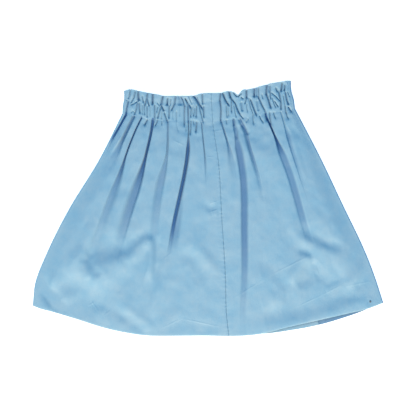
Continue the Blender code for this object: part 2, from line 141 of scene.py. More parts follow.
PATH_LEVELS = (0.0, 0.05, 0.15, 0.30, 0.55, 1.0)
CENTRE_SEAM = Path(0.523, 0.529, 0.540, 0.5495, 0.562, 0.560)
LEFT_SIDE_SEAM = 0.050
RIGHT_SIDE_SEAM = 0.182

# How far the cloth has run down from the lower stitch line at each level, in millimetres
FALL_LEVELS = (-2.0, -1.0, 0.0, 1.0)
FALL_MM = (-49.0, -31.0, 0.0, 390.0)

# How far the ruffle's top edge rises above its even row, at places from left to right
TopEdge = namedtuple("TopEdge", "x rise")
TOP_EDGE = tuple(TopEdge(*row) for row in (
    (-166.0, 0.5), (-151.0, 7.0), (-140.0, 7.0), (-126.0, 5.5), (-112.0, 4.5), (-96.0, 2.5),
    (-83.0, 0.5), (-60.0, 1.0), (-35.0, 0.3), (-22.0, 1.2), (-14.0, 3.4), (24.0, 2.2), (44.0, 3.0),
    (53.0, -1.5), (59.5, -6.0), (67.0, 1.5), (80.0, 1.2), (102.0, 3.0), (128.0, 4.0), (146.0, 2.2),
    (157.0, 1.5), (166.0, -2.0),
))
TOP_EDGE_LEVEL = -1.35

# How far the top edge dips where a crease reaches it, and the level down to which it does
SCALLOP = 2.4
SCALLOP_LEVEL = -1.65

# How far the hem drops below its even row, at shares of the way across
HemEdge = namedtuple("HemEdge", "across drop")
HEM_EDGE = tuple(HemEdge(*row) for row in (
    (0.00, 3.4), (0.02, 2.9), (0.05, 0.4), (0.10, -1.1), (0.14, -0.6), (0.19, 2.1), (0.25, 4.4),
    (0.32, 5.8), (0.42, 2.6), (0.50, 2.0), (0.56, 4.3), (0.61, 5.5), (0.66, 5.0), (0.70, 2.0),
    (0.74, -0.3), (0.87, 0.0), (0.91, 1.8), (0.95, 4.0), (1.00, 3.4),
))
HEM_EDGE_LEVEL = 0.60

# Creases that the gathering draws into the ruffle and the casing and just below it: a course of three
# points, the half width at its start and at its end, and the depth as a share of the room above the back.
# They were placed by eye in the photo's pixels, and a helper script turned them to these millimetres.
Crease = namedtuple("Crease", "x1 y1 x2 y2 x3 y3 start end depth")
CREASES = tuple(Crease(*row) for row in (
    (-150.9, 231, -152.4, 221.3, -154.8, 213.5, 1.4, 1.6, 0.6),
    (-141.1, 229.1, -143.4, 217.4, -149.3, 206.1, 1.4, 1, 0.6),
    (-135.6, 229.1, -135.4, 219.3, -134.5, 210.9, 1, 2.9, 0.95),
    (-134.9, 209.6, -141.3, 205.7, -149.3, 201.4, 1.4, 1, 0.6),
    (-127.8, 218.3, -126.3, 211.5, -124.9, 205.7, 0.8, 1.4, 0.6),
    (-117.3, 229.1, -118.3, 216.6, -123.2, 200.2, 1.6, 1.4, 0.75),
    (-117.9, 214.4, -116.5, 207.6, -114.6, 199.8, 1, 1.6, 0.7),
    (-107, 227.1, -107.4, 215.4, -107.6, 203.3, 1.6, 1.8, 1),
    (-98.4, 205.7, -96.5, 203.7, -94.5, 199.8, 0.6, 1.4, 0.4),
    (-87.3, 220.3, -89.2, 211.5, -91.2, 201.8, 1.2, 2.7, 0.9),
    (-78.3, 214.4, -78.9, 207.6, -79.3, 201, 0.8, 2.1, 0.95),
    (-72.1, 213.5, -72.9, 207.6, -73.4, 200.8, 0.8, 1.2, 0.5),
    (-62.3, 220.3, -65.1, 203.7, -70.9, 191.6, 1.6, 1.4, 0.75),
    (-56.5, 219.3, -53.5, 211.5, -53.5, 201.8, 5.1, 5.8, 0.45),
    (-52.2, 217.4, -48.3, 209.6, -45.2, 199.8, 1.2, 1.6, 0.7),
    (-44, 213.5, -39.1, 204.7, -33.5, 196.3, 1, 2.1, 0.95),
    (-37.9, 220.3, -35, 211.5, -31.1, 203.7, 0.8, 1, 0.35),
    (-27.6, 219.3, -19.4, 207.6, -11.2, 194.8, 2.9, 1.6, 1),
    (-21.8, 217.4, -20.6, 209.6, -19, 201.8, 1.6, 1.6, 0.6),
    (-10.8, 223.2, -10.7, 213.5, -10.1, 203.7, 1.2, 1.4, 0.7),
    (-154.6, 209.2, -157.9, 195.9, -159, 185.8, 1.8, 2.1, 1),
    (-161.4, 212.5, -159.2, 211.5, -156.7, 209.6, 1, 1, 0.5),
    (-137, 206.1, -139, 194, -142.7, 183.8, 1.4, 1.2, 0.7),
    (-133.7, 205.7, -133.1, 195.9, -132.1, 185.8, 1.4, 1.2, 0.7),
    (-127.3, 201.8, -127.3, 194, -127.3, 184.2, 1, 1, 0.4),
    (-123.6, 197.9, -123.4, 190.1, -123, 182.7, 1, 1, 0.5),
    (-118.1, 199.8, -118.1, 190.1, -118.1, 178.4, 1.2, 0.8, 0.65),
    (-112.2, 198.8, -112.4, 192, -112.6, 180.3, 0.8, 0.8, 0.3),
    (-103.7, 201.8, -103.5, 190.1, -103.5, 176, 1, 1.4, 0.75),
    (-97.4, 198.7, -98.6, 194, -99.4, 186.9, 1.2, 0.8, 0.6),
    (-91.6, 197.9, -94.7, 188.1, -97.6, 176.4, 1, 1.4, 0.8),
    (-90.6, 200.2, -88.5, 195.9, -85.9, 190.1, 1.6, 1.4, 0.95),
    (-84.9, 186.6, -82.2, 178.4, -78.9, 168.6, 1.2, 1.2, 0.75),
    (-89, 190.1, -90, 180.3, -90.6, 174.5, 0.8, 0.8, 0.35),
    (-75.2, 201, -75.4, 188.1, -76, 176.4, 1.2, 1.4, 0.65),
    (-67.8, 192, -68.2, 184.2, -67.8, 174.5, 0.8, 0.8, 0.25),
    (-61.2, 188.1, -61.2, 178.4, -61.2, 170.6, 1, 1, 0.35),
    (-54.1, 197.9, -54.3, 188.1, -54.9, 180.3, 0.8, 0.8, 0.2),
    (-45.2, 200.8, -45.8, 184.2, -45.8, 162.8, 1.2, 1.4, 0.75),
    (-38.9, 200.8, -38.3, 186.2, -38.1, 168.6, 1.8, 1, 0.9),
    (-31.7, 197.5, -33.3, 188.1, -33.5, 178.4, 1, 1.2, 0.65),
    (-28.8, 199.8, -30.3, 192, -30.7, 184.2, 0.6, 0.8, 0.4),
    (-25.5, 195.9, -26.4, 188.1, -28, 180.3, 1, 1, 0.6),
    (-22, 200.2, -22.3, 190.1, -22.9, 178.4, 1.2, 1, 0.7),
    (-16.7, 198.7, -13.2, 184.2, -9.3, 168.6, 1, 1.2, 0.65),
    (-8.7, 199, -8.5, 190.1, -8.1, 178.4, 1.4, 1.2, 0.85),
    (-149.1, 186.2, -146.2, 190.1, -143.2, 187.1, 0.8, 0.8, 0.35),
    (-117.9, 172.9, -120, 168.6, -123, 162, 1.6, 1.2, 0.9),
    (-97.6, 172.5, -99.8, 166.7, -102.7, 160.8, 1.4, 1, 0.7),
    (-103.7, 174.9, -104.8, 168.6, -106.8, 158.9, 1, 0.8, 0.6),
    (-90.4, 171.5, -90, 167.6, -89.6, 162.8, 1, 1, 0.4),
    (-61, 168.6, -60, 160.8, -57.3, 151.1, 1.2, 1.8, 0.14),
    (-32.7, 170.6, -33.3, 158.9, -34.4, 145.2, 1.4, 1, 0.7),
    (-21.8, 168.6, -22.3, 158.9, -23.7, 149.1, 1.6, 1.2, 0.75),
    (-28.2, 171.5, -27.8, 167.6, -27, 162.8, 0.8, 0.8, 0.5),
    (-41.7, 164.7, -42, 158.9, -42.4, 151.1, 0.8, 0.8, 0.3),
    (25, 226.3, 23.9, 217.4, 23.3, 208.6, 1.8, 1.6, 0.8),
    (23.3, 209.6, 25.4, 195.9, 24.6, 170.6, 1.6, 1.2, 0.95),
    (28.9, 224, 33.8, 211.5, 40.4, 201, 1.9, 1.6, 1),
    (41.2, 227.9, 42.8, 221.3, 44.1, 215.4, 1.6, 1.9, 0.95),
    (49.6, 225.2, 52.7, 221.3, 56.2, 217.8, 0.8, 1, 0.6),
    (65, 223.2, 61.5, 220.3, 58.2, 217.4, 0.8, 0.8, 0.5),
    (64.4, 216.4, 66.4, 214.8, 69.1, 213.5, 1.2, 1, 0.6),
    (75.1, 231, 75.1, 223.2, 75.1, 214.2, 1.4, 1.8, 0.95),
    (90.4, 234.9, 90.2, 227.1, 90, 217.4, 1.8, 1.9, 1),
    (94.5, 236.9, 94.8, 227.1, 95.2, 218.3, 3.1, 2.9, 0.5),
    (98, 234.9, 98.4, 225.2, 98.7, 214.4, 1.2, 1.2, 0.65),
    (114.7, 241.7, 114, 231, 113.4, 221.3, 1.8, 1.8, 0.95),
    (117.9, 240.8, 118.2, 234.9, 119, 227.1, 2.5, 1.9, 0.45),
    (120.4, 239.8, 121, 229.1, 121.8, 214.4, 1.2, 1.2, 0.7),
    (105, 222.2, 106, 218.3, 106.9, 213.5, 1, 1.2, 0.4),
    (132.1, 234.9, 133.5, 231, 135.4, 227.1, 1.4, 1.8, 0.65),
    (144.4, 244.7, 143.6, 236.9, 142, 228.3, 1.2, 2.1, 0.9),
    (149.6, 240.8, 149.1, 234.9, 148.5, 229.1, 1.4, 1.6, 0.75),
    (36, 199.8, 36.3, 190.1, 37.5, 178.4, 1, 1, 0.55),
    (39.7, 196.9, 39.9, 190.1, 40.4, 180.3, 0.8, 0.8, 0.4),
    (45.9, 212.5, 45.7, 201.8, 46.1, 188.1, 1, 1, 0.65),
    (43.8, 216.4, 52.9, 204.7, 60.1, 186.9, 1.2, 1.8, 0.9),
    (60.1, 187.7, 63.6, 181.3, 68.1, 175.2, 1.4, 1.2, 0.75),
    (50.8, 199.8, 52.7, 188.1, 55.1, 178.4, 0.8, 0.8, 0.5),
    (65, 206.6, 66, 199.8, 66.8, 190.1, 2.7, 2.3, 0.5),
    (74, 212.3, 73.4, 208.6, 71.8, 203.7, 1, 0.8, 0.6),
    (75.7, 203.7, 75.3, 197.9, 77.3, 188.1, 0.8, 0.8, 0.4),
    (79.6, 213.9, 82.8, 197.9, 89, 181.5, 0.8, 0.8, 0.5),
    (82.8, 211.9, 87.8, 198.8, 93.9, 183, 1.4, 1.8, 0.9),
    (96.4, 209.6, 97.2, 199.8, 98, 191, 3.1, 2.7, 0.4),
    (98.5, 216.2, 105.4, 200.8, 112.4, 187.7, 1.6, 1.4, 0.85),
    (114.3, 221.7, 118.6, 209.6, 122.1, 196.7, 1.4, 1.9, 0.95),
    (122.9, 225.2, 132.3, 218.2, 140.1, 209.2, 1, 1, 0.7),
    (124.9, 215.4, 128, 205.7, 131.9, 196.9, 0.8, 1, 0.55),
    (129.8, 208.6, 132.9, 203.7, 136.4, 198.3, 1, 1, 0.7),
    (138.1, 227.9, 142, 207.6, 142.2, 194, 1.6, 1.4, 0.85),
    (146.7, 219.3, 148.3, 209.6, 150.6, 197.9, 0.8, 1, 0.55),
    (150.8, 226.3, 153.1, 213.9, 156.5, 202.9, 1.4, 1.8, 0.9),
    (154.7, 227.1, 156.5, 223.2, 159.2, 217.4, 0.8, 0.8, 0.55),
    (156.1, 197.9, 158.6, 194, 162.7, 187.7, 1.6, 1.6, 0.95),
    (150.2, 198.7, 151.2, 192, 153, 184.2, 1, 1, 0.65),
    (35.8, 172.5, 36.1, 169.6, 36.5, 164.7, 1, 0.8, 0.5),
    (50, 174.5, 50, 168.6, 50.6, 160.8, 1.8, 1.6, 0.8),
    (63.1, 175.4, 65.2, 169.6, 70.3, 160.8, 1, 0.8, 0.5),
    (65.4, 162.8, 72.2, 155, 77.3, 145.2, 4.3, 2.7, 0.55),
    (53.7, 158.9, 56.6, 151.1, 55.6, 137.4, 4.7, 2.3, 0.4),
    (87.2, 182.3, 87.8, 174.5, 88.8, 164.7, 1, 1, 0.5),
    (78.9, 174.5, 76.5, 171.3, 74.2, 167.4, 1.4, 1, 0.35),
    (100.5, 180.3, 102.6, 174.5, 107.3, 167.4, 1.4, 1, 0.6),
    (111.8, 186.6, 112.8, 180.3, 114.7, 170.6, 2.1, 1.2, 0.95),
    (120.2, 186.9, 121, 176.4, 122.1, 163.5, 1.2, 1.4, 0.85),
    (127.8, 187.3, 129, 182.3, 131.1, 175.6, 1, 1, 0.6),
    (150.8, 188.1, 153.1, 182.3, 156.1, 174.5, 1, 1, 0.5),
))

# How they fade out at their ends, how deep the shade painted into them is, and how the cloth bulges between
# them
CREASE_TAPER = 0.17
CREASE_STRETCH = 1.34
CREASE_END_WIDTH = 0.5
CREASE_LAST_LEVEL = 0.13
CREASE_SHADE = 0.64
CREASE_SHADE_POWER = 0.75
CREASE_NARROWING = 0.74
CREASE_WALL_POWER = 1.4
BULGE_WIDTH = 3.2
BULGE_SHARE = 0.28

# Folds that fall from the casing: path across the front, the levels where the fold has widened, starts to
# fade and ends, and its section at the top and at the end. A section has the half width of its floor, the
# softness of its two walls, its depth as a share of the room above the back, and how deep the shade painted
# into it is.
# The paths follow points placed by eye in the photo, whose shares across a helper script worked out.
Section = namedtuple("Section", "floor left right depth shade")
Fold = namedtuple("Fold", "path widened fade end top foot")
FOLDS = (
    Fold(Path(0.021, 0.017, 0.0075, 0.003, 0.001, 0.001), 0.20, 0.10, 0.22,
         Section(1.0, 0.7, 1.4, 1.0, 1.0), Section(0.5, 1.0, 2.5, 0.7, 0.4)),
    Fold(Path(0.067, 0.064, 0.0585, 0.047, 0.046, 0.046), 0.25, 0.12, 0.36,
         Section(0.8, 2.2, 1.8, 0.8, 0.58), Section(2.5, 9.0, 7.0, 0.5, 0.36)),
    Fold(Path(0.111, 0.1045, 0.101, 0.110, 0.1250, 0.122), 0.40, 0.36, 0.80,
         Section(0.5, 0.8, 1.0, 0.80, 0.84), Section(1.5, 3.0, 8.0, 0.48, 0.42)),
    Fold(Path(0.177, 0.186, 0.192, 0.200, 0.208, 0.205), 0.36, 0.38, 0.72,
         Section(1.2, 1.0, 1.0, 1.0, 1.0), Section(2.6, 8.0, 3.4, 0.8, 0.54)),
    Fold(Path(0.263, 0.275, 0.291, 0.293, 0.320, 0.340), 0.30, 0.25, 0.74,
         Section(0.5, 0.8, 1.4, 0.5, 0.45), Section(2.4, 6.0, 4.0, 0.46, 0.44)),
    Fold(Path(0.383, 0.389, 0.3905, 0.3835, 0.377, 0.370), 0.13, 0.43, 0.67,
         Section(0.2, 0.8, 0.8, 0.90, 0.6), Section(1.5, 0.9, 2.4, 1.0, 1.0)),
    Fold(Path(0.393, 0.393, 0.393, 0.3885, 0.3870, 0.380), 0.50, 0.51, 0.63,
         Section(0.4, 0.8, 0.8, 0.0, 0.0), Section(2.0, 1.6, 7.5, 0.5, 0.45)),
    Fold(Path(0.458, 0.465, 0.477, 0.490, 0.495, 0.495), 0.30, 0.12, 0.34,
         Section(0.2, 0.8, 0.8, 0.5, 0.55), Section(0.5, 1.8, 2.4, 0.3, 0.3)),
    Fold(Path(0.573, 0.584, 0.605, 0.620, 0.628, 0.630), 0.20, 0.08, 0.34,
         Section(0.5, 0.9, 1.2, 0.50, 0.52), Section(1.5, 6.0, 3.4, 0.4, 0.38)),
    Fold(Path(0.641, 0.641, 0.647, 0.6495, 0.636, 0.600), 0.14, 0.50, 1.12,
         Section(0.5, 0.9, 4.2, 0.45, 0.42), Section(2.8, 3.0, 4.4, 0.42, 0.62)),
    Fold(Path(0.684, 0.698, 0.707, 0.7205, 0.724, 0.722), 0.12, 0.16, 0.42,
         Section(1.6, 2.8, 1.0, 0.45, 0.42), Section(0.6, 4.5, 1.0, 0.45, 0.56)),
    Fold(Path(0.831, 0.836, 0.8435, 0.8515, 0.8505, 0.850), 0.21, 0.44, 0.68,
         Section(0.7, 0.9, 0.9, 1.0, 1.0), Section(3.6, 3.0, 2.6, 0.26, 0.50)),
    Fold(Path(0.9175, 0.9105, 0.895, 0.889, 0.890, 0.890), 0.12, 0.10, 0.48,
         Section(0.7, 0.7, 0.8, 0.35, 0.27), Section(0.8, 1.0, 6.0, 0.30, 0.42)),
)
# The fold walls' steepness, where widening starts, and the levels where folds and their painted shade begin
FOLD_WALL_POWER = 2.4
FOLD_WIDENS_FROM = 0.45
FOLD_BEGINS = (-0.06, 0.012)
FOLD_SHADE_BEGINS = (-0.16, -0.04)

# Heights above the table down the levels: the crests, the floor that valleys reach, and the side folds with
# the distance in which the cloth rises from them to the crests
Height = namedtuple("Height", "level crest floor edge edge_rise")
HEIGHTS = (
    Height(-2.00, 12.4, 2.6, 6.6, 8.0),
    Height(-1.50, 11.5, 2.7, 6.6, 7.0),
    Height(-1.12, 10.2, 2.8, 6.6, 7.0),
    Height(-0.50, 10.4, 2.9, 7.0, 7.0),
    Height(-0.12, 9.6, 2.9, 6.8, 7.0),
    Height(0.00, 9.4, 2.8, 6.2, 8.0),
    Height(0.06, 11.3, 2.6, 5.8, 12.0),
    Height(0.16, 13.6, 2.3, 5.3, 22.0),
    Height(0.35, 12.6, 2.0, 4.6, 34.0),
    Height(0.60, 10.2, 1.9, 4.4, 34.0),
    Height(0.85, 7.4, 2.0, 4.4, 34.0),
    Height(0.97, 5.6, 2.4, 4.4, 34.0),
    Height(1.00, 5.0, 2.6, 4.4, 34.0),
)
BODY_BEGINS = (0.02, 0.15)
LEAST_CREST = 0.6
FOLDS_FROM_EDGE = 2.2

# Where the cloth is held down: round the stud, along the two stitch lines and along the centre seam, and
# the shade painted along the lower stitch line and over the ruffle
STUD_PLACE = (316.1, -181.3)
STUD_SEAT = 5.4
STUD_REACH = 7.0
STITCH_DIP = 0.22
STITCH_DIP_WIDTH = 2.2
STITCH_PULL_LEAST = 0.6
STITCH_PULL_EVERY = 7.3
STITCH_PULL_DRIFT = 17.0
STITCH_SHADE = 0.20
RUFFLE_SHADE = 0.10
SEAM_DIP = 0.8
SEAM_DIP_WIDTH = 1.0

# Broad swells of the front: a course of three points with a crest on one hand of it and a hollow on the
# other, how far off these lie, and how steeply the cloth rises towards the left hand of the course.
# Their courses were placed and turned to millimetres in the same way as those of the creases.
Swell = namedtuple("Swell", "x1 y1 x2 y2 x3 y3 reach slope")
SWELLS = tuple(Swell(*row) for row in (
    (-226.1, -108.3, -204.7, -92.7, -157.9, -84.9, 16.6, -0.27),
    (-233.9, -98.5, -230, -116.1, -222.2, -137.5, 8.8, -0.36),
    (-169.6, -94.6, -146.2, -79, -128.6, -57.6, 11.7, -0.24),
    (-136.4, -63.4, -120.8, -53.7, -103.3, -57.6, 7.8, -0.3),
    (-106.2, -52.6, -103.3, -86.8, -109.1, -141.7, 7.8, -0.58),
    (-179.3, -81, -146.2, -53.7, -120.8, -38.1, 11.7, 0.07),
    (-222.2, -159, -187.1, -139.5, -140.3, -116.1, 17.6, 0.14),
    (-154, -112.2, -134.5, -88.8, -122.8, -69.3, 9.8, 0.18),
    (-294.4, -120, -249.5, -141.4, -191, -182.4, 27.3, 0.23),
    (-210.5, -26.4, -230, -73.2, -257.3, -120, 9.8, -0.38),
    (-315.8, -121.9, -305, -164.9, -261.2, -194, 12.3, 0.34),
    (-265.1, -153.1, -239.8, -162.9, -214.4, -184.3, 8.8, -0.08),
    (-345.1, -139.5, -325.6, -168.7, -296.3, -192.1, 13.7, -0.46),
    (-175.4, -194.1, -144.2, -213.6, -107.2, -244.8, 8.8, 0.24),
    (-222.2, -188.2, -191, -205.8, -152, -227.2, 11.7, -0.13),
    (-99.4, -141.4, -111.1, -176.5, -116.9, -211.6, 11.7, 0.12),
    (-81.8, -86.8, -74, -135.6, -101.3, -221.4, 13.7, -0.14),
    (-50.6, -75.1, -21.4, -88.8, 7.9, -137.5, 12.7, 0.24),
    (-17.5, -71.2, 2, -92.7, 19.6, -125.8, 7.8, -0.1),
    (193.1, -14.7, 230.2, -51.7, 271.1, -71.2, 17.6, 0.06),
    (267.2, -67.3, 288.7, -84.9, 308.2, -112.2, 13.7, 0.08),
    (200.9, 10.7, 224.3, -20.5, 263.3, -34.2, 13.7, -0.04),
    (175.6, -43.9, 214.6, -67.3, 263.3, -84.9, 8.8, -0.3),
    (148.3, -14.7, 169.7, -67.3, 204.8, -81, 9.8, 0.19),
    (173.6, -84.9, 191.2, -90.7, 206.8, -96.6, 5.8, -0.18),
    (206.8, -94.6, 187.3, -114.1, 167.8, -153.1, 10.7, -0.5),
    (195.1, -106.3, 234.1, -118, 277, -125.8, 23.4, 0.15),
    (199, -151.2, 206.8, -129.7, 222.4, -149.2, 6.8, -0.14),
    (226.3, -155.1, 243.8, -147.3, 263.3, -139.5, 5.8, -0.22),
    (312.1, -100.5, 298.4, -129.7, 278.9, -159, 8.8, -0.42),
    (247.7, -182.4, 292.6, -176.5, 335.5, -168.7, 8.8, -0.13),
    (97.6, -225.3, 189.2, -205.8, 304.3, -176.5, 15.6, -0.2),
    (257.5, 20.4, 280.9, -47.8, 302.3, -81, 5.8, -0.1),
    (89.8, -102.4, 130.7, -143.4, 165.8, -209.7, 13.7, -0.12),
    (113.2, -129.7, 128.8, -151.2, 144.4, -172.6, 7.8, 0.08),
    (70.3, 160.8, 101.5, 127.7, 132.7, 94.5, 23.4, -0.09),
    (-142.3, 178.4, -173.5, 121.8, -200.8, 67.2, 9.8, -0.22),
    (-185.2, 39.9, -208.6, -26.4, -230, -84.9, 11.7, -0.1),
    (-150.1, 32.1, -163.7, -12.7, -179.3, -67.3, 13.7, -0.22),
    (-83.8, 71.1, -97.4, 16.5, -103.3, -57.6, 11.7, -0.14),
    (25.4, 141.3, 41, 110.1, 50.8, 78.9, 9.8, -0.14),
    (150.2, 176.4, 167.8, 129.6, 187.3, 55.5, 11.7, -0.28),
    (-93.5, -233.1, -50.6, -213.6, 27.4, -229.2, 9.8, 0.08),
    (-74, 133.5, -58.4, 121.8, -42.8, 129.6, 9.8, 0.1),
    (-31.1, 141.3, -19.4, 133.5, -5.8, 147.2, 7.8, -0.12),
    (-3.8, 0.9, 5.9, -6.9, 17.6, -1, 5.8, -0.2),
    (-7.7, 16.5, 4, 6.8, 17.6, 10.7, 5.8, 0.16),
    (93.7, 110.1, 117.1, 75, 144.4, 16.5, 15.6, 0.1),
    (105.4, -201.9, 119, -198, 134.6, -196, 17.6, 0.06),
))
SWELL_TAPER = 0.3
SWELL_AT_ENDS = 0.06
SWELL_SHARE = 1.13

# Small uneven crumples all over the cloth: shortest and longest wave, how high they are for their length,
# and how much of them shows on the casing, how much more in the body and beside the lower stitch line
CRUMPLE_COUNT = 16
CRUMPLE_SHORTEST = 11.0
CRUMPLE_LONGEST = 50.0
CRUMPLE_SLOPE = 0.007
CRUMPLE_REACH = 0.12
CRUMPLE_ON_CASING = 0.45
CRUMPLE_IN_BODY = 0.2
CRUMPLE_AT_LINE = 1.1
CRUMPLE_TURN = 2.4

# How finely the cloth is divided
RUFFLE_ROWS = (-2.0, -1.97) + tuple(-1.92 + 0.055 * step for step in range(17))
CASING_ROWS = tuple(-1.0 + 0.036 * step for step in range(28))
UPPER_ROWS = (0.0, 0.0025) + tuple(0.005 * step for step in range(1, 20))
MIDDLE_ROWS = tuple(0.10 + 0.0095 * step for step in range(54))
HEM_ROWS = tuple(0.613 + 0.01 * step for step in range(37)) + (0.982, 0.989, 0.994, 0.997, 1.0)
LEVELS = np.array(RUFFLE_ROWS + CASING_ROWS + UPPER_ROWS + MIDDLE_ROWS + HEM_ROWS)
UNDER_COLUMNS = 10
TURN_STEPS = 8
TOP_COLUMNS = 262

# The hem's edge turns down a little
HEM_CURL = 0.5
HEM_CURL_FROM = 0.994


def smoothstep(start, end, value):
    """Rise smoothly from 0 at start to 1 at end."""
    share = np.clip((value - start) / (end - start), 0.0, 1.0)
    return share * share * (3.0 - 2.0 * share)


def smooth_curve(places, values, at):
    """Read a smooth curve through (places, values) at many places."""
    places = np.asarray(places, dtype=float)
    values = np.asarray(values, dtype=float)
    at = np.clip(at, places[0], places[-1])
    span = np.clip(np.searchsorted(places, at, side="left") - 1, 0, len(places) - 2)
    rises = np.diff(values) / np.diff(places)
    slopes = np.concatenate(([rises[0]], (rises[:-1] + rises[1:]) / 2, [rises[-1]]))
    step = places[span + 1] - places[span]
    t = (at - places[span]) / step
    return (
        values[span] * (2 * t**3 - 3 * t**2 + 1)
        + values[span + 1] * (3 * t**2 - 2 * t**3)
        + step * slopes[span] * (t**3 - 2 * t**2 + t)
        + step * slopes[span + 1] * (t**3 - t**2)
    )


def column_of(rows, field):
    return [getattr(row, field) for row in rows]


def row_values(levels, field):
    """One size of the outline at many levels."""
    waist = smooth_curve(column_of(WAIST_ROWS, "level"), column_of(WAIST_ROWS, field), levels)
    body = smooth_curve(column_of(BODY_ROWS, "level"), column_of(BODY_ROWS, field), levels)
    return np.where(levels < 0, waist, body)


def row_widths(levels):
    return row_values(levels, "right_x") - row_values(levels, "left_x")


def heights(levels, field):
    return np.interp(levels, column_of(HEIGHTS, "level"), column_of(HEIGHTS, field))


def falls(levels):
    return np.interp(levels, FALL_LEVELS, FALL_MM)


def plan_points(across, levels):
    """Where points of the cloth lie on the table, seen from above."""
    from_middle = 2.0 * across - 1.0
    power = np.where(from_middle < 0, LEFT_SAG_POWER, RIGHT_SAG_POWER)
    left_y = row_values(levels, "left_y")
    x = row_values(levels, "left_x") + row_widths(levels) * across
    y = left_y + (row_values(levels, "right_y") - left_y) * across
    y = y - row_values(levels, "sag") * (1.0 - np.abs(from_middle) ** power)
    rise = smooth_curve(column_of(TOP_EDGE, "x"), column_of(TOP_EDGE, "rise"), x)
    drop = smooth_curve(column_of(HEM_EDGE, "across"), column_of(HEM_EDGE, "drop"), across)
    y = y + rise * (1.0 - smoothstep(-2.0, TOP_EDGE_LEVEL, levels))
    y = y - drop * smoothstep(HEM_EDGE_LEVEL, 1.0, levels)
    return x - MIDDLE_X, y - MIDDLE_Y


def from_course(x, y, stroke):
    """Distance from a stroke's course, how far along it the nearest place is, and on which hand it lies."""
    points = ((stroke.x1, stroke.y1), (stroke.x2, stroke.y2), (stroke.x3, stroke.y3))
    nearest = np.full_like(x, np.inf)
    along = np.zeros_like(x)
    hand = np.zeros_like(x)
    for half, ((start_x, start_y), (end_x, end_y)) in enumerate(zip(points, points[1:])):
        run_x = end_x - start_x
        run_y = end_y - start_y
        share = np.clip(((x - start_x) * run_x + (y - start_y) * run_y) / (run_x**2 + run_y**2), 0.0, 1.0)
        off_x = x - start_x - share * run_x
        off_y = y - start_y - share * run_y
        off = np.hypot(off_x, off_y) + 1e-6
        is_nearer = off < nearest
        along = np.where(is_nearer, (half + share) / 2.0, along)
        turned = (run_x * off_y - run_y * off_x) / (math.hypot(run_x, run_y) * off)
        hand = np.where(is_nearer, turned, hand)
        nearest = np.where(is_nearer, off, nearest)
    return nearest, along, hand


def stretched(crease):
    """The same crease with both ends a little further from its middle point."""
    return crease._replace(
        x1=crease.x2 + CREASE_STRETCH * (crease.x1 - crease.x2),
        y1=crease.y2 + CREASE_STRETCH * (crease.y1 - crease.y2),
        x3=crease.x2 + CREASE_STRETCH * (crease.x3 - crease.x2),
        y3=crease.y2 + CREASE_STRETCH * (crease.y3 - crease.y2),
    )


def crease_hollow(x, y, levels):
    """How far the gathering draws the cloth in near the waist, and how round the bulges are, 0 to 1."""
    kept = np.ones_like(x)
    rounded = np.zeros_like(x)
    rows = np.broadcast_to(levels, x.shape)[:, 0] < CREASE_LAST_LEVEL
    near_x = x[rows]
    near_y = y[rows]
    near_kept = np.ones_like(near_x)
    near_round = np.zeros_like(near_x)
    for crease in CREASES:
        off, along, _ = from_course(near_x, near_y, stretched(crease))
        taper = smoothstep(0.0, CREASE_TAPER, np.minimum(along, 1.0 - along))
        width = crease.start + (crease.end - crease.start) * along
        width = width * (CREASE_END_WIDTH + (1.0 - CREASE_END_WIDTH) * taper)
        valley = np.exp(-((off / (CREASE_NARROWING * width)) ** CREASE_WALL_POWER))
        near_kept *= 1.0 - crease.depth * taper * valley
        bulge = np.exp(-((off / (width + BULGE_WIDTH)) ** CREASE_WALL_POWER))
        near_round = np.maximum(near_round, crease.depth * taper * bulge)
    kept[rows] = near_kept
    rounded[rows] = near_round
    return 1.0 - kept, rounded


def fold_hollow(distance, levels):
    """How far the long folds draw the cloth in, and how deep the shade painted into them is, from 0 to 1.
    """
    kept = np.ones_like(distance)
    lit = np.ones_like(distance)
    row_width = row_widths(levels)
    begun = smoothstep(*FOLD_BEGINS, levels)
    shade_begun = smoothstep(*FOLD_SHADE_BEGINS, levels)
    for fold in FOLDS:
        centre = smooth_curve(PATH_LEVELS, fold.path, levels) * row_width
        grown = smoothstep(FOLD_WIDENS_FROM * fold.widened, fold.widened, levels)
        floor, left, right, depth, shade = (
            top + (foot - top) * grown for top, foot in zip(fold.top, fold.foot)
        )
        left_wall = np.clip((centre - floor - distance) / left, 0.0, 6.0)
        right_wall = np.clip((distance - centre - floor) / right, 0.0, 6.0)
        valley = np.exp(-np.maximum(left_wall, right_wall) ** FOLD_WALL_POWER)
        valley = valley * (1.0 - smoothstep(fold.fade, fold.end, levels))
        kept *= 1.0 - depth * valley * begun
        lit *= 1.0 - shade * valley * shade_begun
    return 1.0 - kept, 1.0 - lit


def swell_heights(x, y):
    """Sum of the broad swells, each with a crest on one hand of its course and a hollow on the other."""
    total = np.zeros_like(x)
    for swell in SWELLS:
        off, along, hand = from_course(x, y, swell)
        taper = smoothstep(0.0, SWELL_TAPER, np.minimum(along, 1.0 - along) + SWELL_AT_ENDS)
        slope = SWELL_SHARE * swell.slope * taper * np.exp(-0.5 * (off / swell.reach) ** 2)
        total += slope * off * hand
    return total


def crumple_heights(x, y):
    """Small uneven waves in every direction, each bent sideways and fading in patches of its own size."""
    total = np.zeros_like(x)
    for step in range(CRUMPLE_COUNT):
        share = step / (CRUMPLE_COUNT - 1)
        wave = CRUMPLE_SHORTEST * (CRUMPLE_LONGEST / CRUMPLE_SHORTEST) ** share
        turn = CRUMPLE_TURN * step
        along = x * math.cos(turn) + y * math.sin(turn)
        beside = y * math.cos(turn) - x * math.sin(turn)
        bend = 0.9 * np.sin(beside / wave * 1.7 + step) + 0.7 * np.sin(beside / wave * 0.6 + 2.0 * step)
        patch = 0.5 + 0.5 * np.sin(along / wave * 0.8 + 3.0 * step) * np.sin(beside / wave * 0.5 + step)
        total += CRUMPLE_SLOPE * wave * patch * np.sin(2.0 * math.pi * along / wave + bend)
    return total


